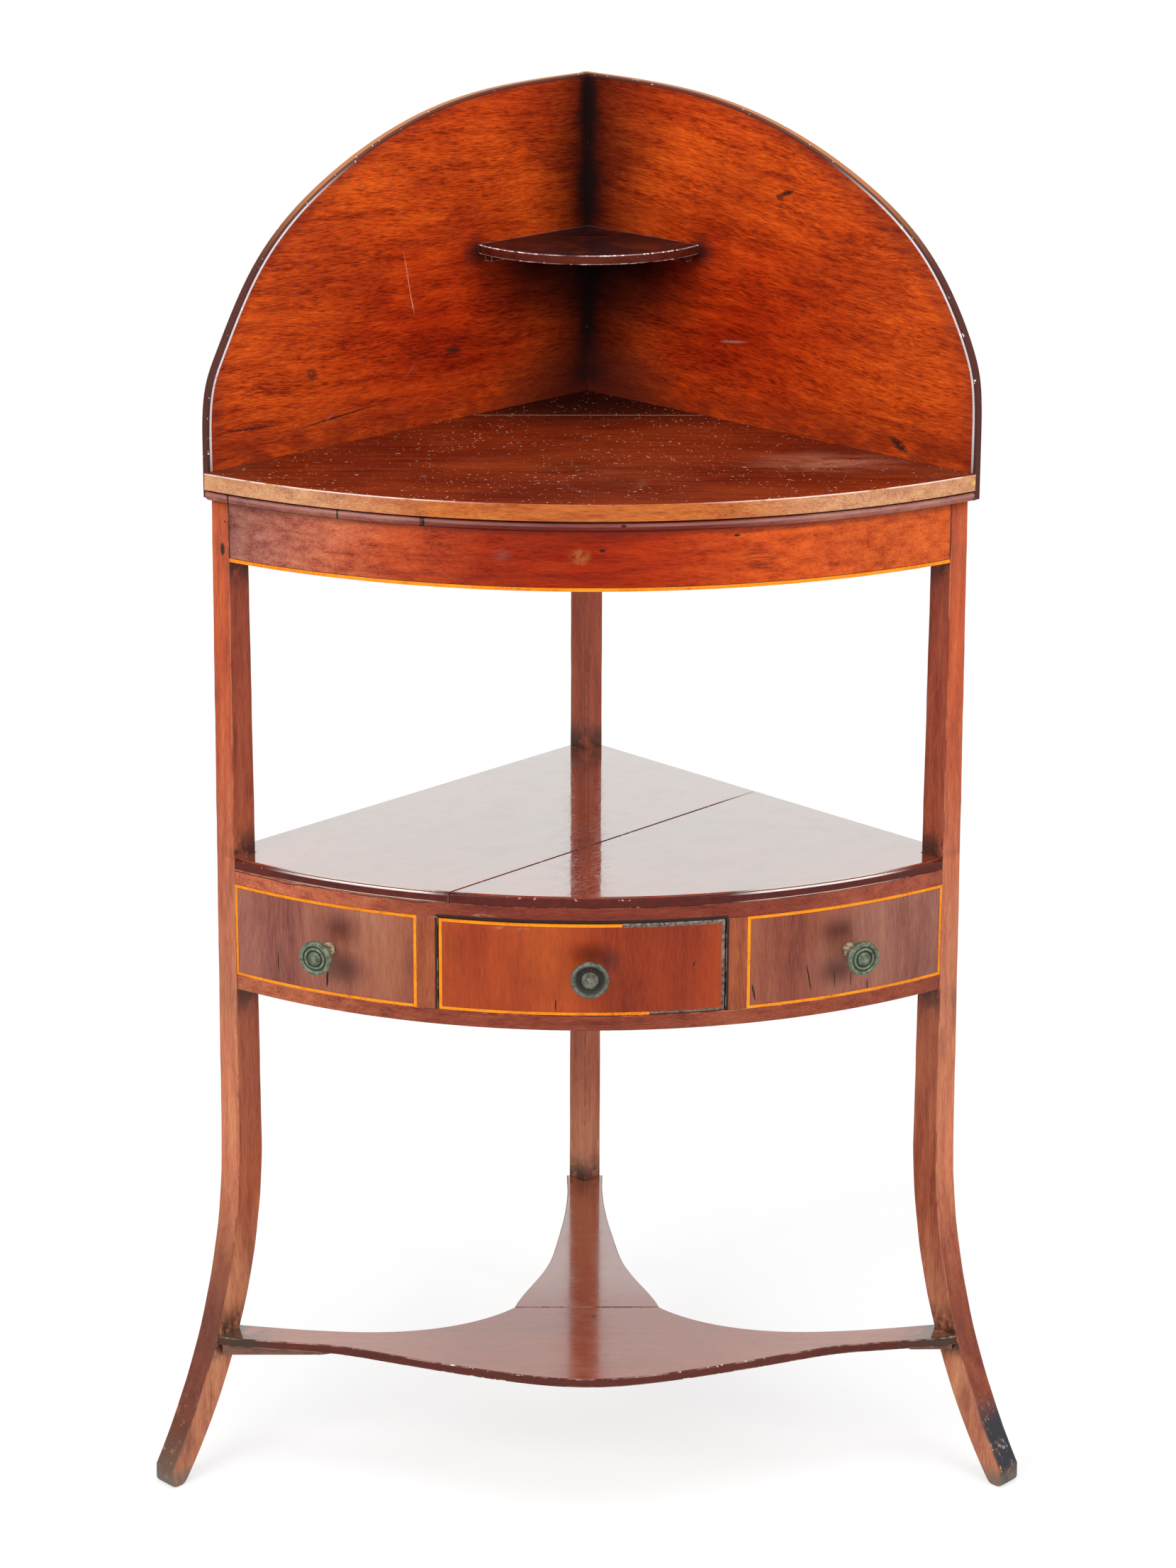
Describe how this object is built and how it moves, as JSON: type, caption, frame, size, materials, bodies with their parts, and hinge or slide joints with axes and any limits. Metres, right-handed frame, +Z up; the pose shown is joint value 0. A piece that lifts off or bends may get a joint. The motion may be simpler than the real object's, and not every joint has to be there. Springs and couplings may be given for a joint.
{
  "type": "corner washstand",
  "caption": "Bow-fronted corner washstand with arched backboards, small corner shelf, drawer tier with middle drawer, and sabre front legs joined by a shaped low shelf.",
  "frame": {"origin": "middle of the rear leg's foot, on the floor", "axes": "+X to the right seen from the front, +Y back into the room's corner, +Z up. The two walls run at 45 degrees to X and Y."},
  "size_m": [0.7114, 0.4445, 1.1135],
  "materials": {
    "leg_mahogany": "glossy",
    "board_mahogany": "glossy",
    "top_mahogany": "satin",
    "front_mahogany": "glossy",
    "bead_wood": "glossy",
    "boxwood": "satin",
    "knob_metal": "patinated",
    "inner_wood": "rough",
    "fixing_steel": "dull"
  },
  "bodies": {
    "stand": {"rear_leg": "leg_mahogany", "front_leg_left": "leg_mahogany", "front_leg_right": "leg_mahogany", "backboard_left": "board_mahogany", "backboard_right": "board_mahogany", "mid_shelf_left": "board_mahogany", "mid_shelf_right": "board_mahogany", "lower_shelf_front": "board_mahogany", "lower_shelf_rear": "board_mahogany", "corner_shelf": "board_mahogany", "corner_cleat_left": "board_mahogany", "corner_cleat_right": "board_mahogany", "arm_cleat_left": "board_mahogany", "arm_packing_upper": "board_mahogany", "arm_packing_lower": "board_mahogany", "top_board_front": "top_mahogany", "top_board_rear": "top_mahogany", "frieze_rail": "front_mahogany", "upper_drawer_rail": "front_mahogany", "lower_drawer_rail": "front_mahogany", "divider_left": "front_mahogany", "divider_right": "front_mahogany", "fixed_front_left": "front_mahogany", "fixed_front_right": "front_mahogany", "bead_left": "bead_wood", "bead_right": "bead_wood", "frieze_string": "boxwood", "string_left": "boxwood", "string_right": "boxwood", "knob_left": "knob_metal", "knob_right": "knob_metal", "top_rail_left": "inner_wood", "top_rail_right": "inner_wood", "case_back_left": "inner_wood", "case_back_right": "inner_wood", "drawer_runner_left": "inner_wood", "drawer_runner_right": "inner_wood", "drawer_guide_left": "inner_wood", "drawer_guide_right": "inner_wood", "drawer_kicker_left": "inner_wood", "drawer_kicker_right": "inner_wood", "drawer_stop_left": "inner_wood", "drawer_stop_right": "inner_wood", "case_glue_blocks": "inner_wood", "top_glue_blocks": "inner_wood", "knob_nut_left": "fixing_steel", "knob_nut_right": "fixing_steel", "backboard_screws": "fixing_steel"},
    "drawer": {"drawer_front": "front_mahogany", "drawer_string": "boxwood", "drawer_side_left": "inner_wood", "drawer_side_right": "inner_wood", "drawer_back": "inner_wood", "drawer_bottom": "inner_wood", "knob_middle": "knob_metal", "knob_nut_middle": "fixing_steel"}
  },
  "joints": [
    {"name": "drawer_slide", "type": "slide", "parent": "stand", "child": "drawer", "axis": [0, -1, 0], "range_m": [0, 0.19]}
  ]
}
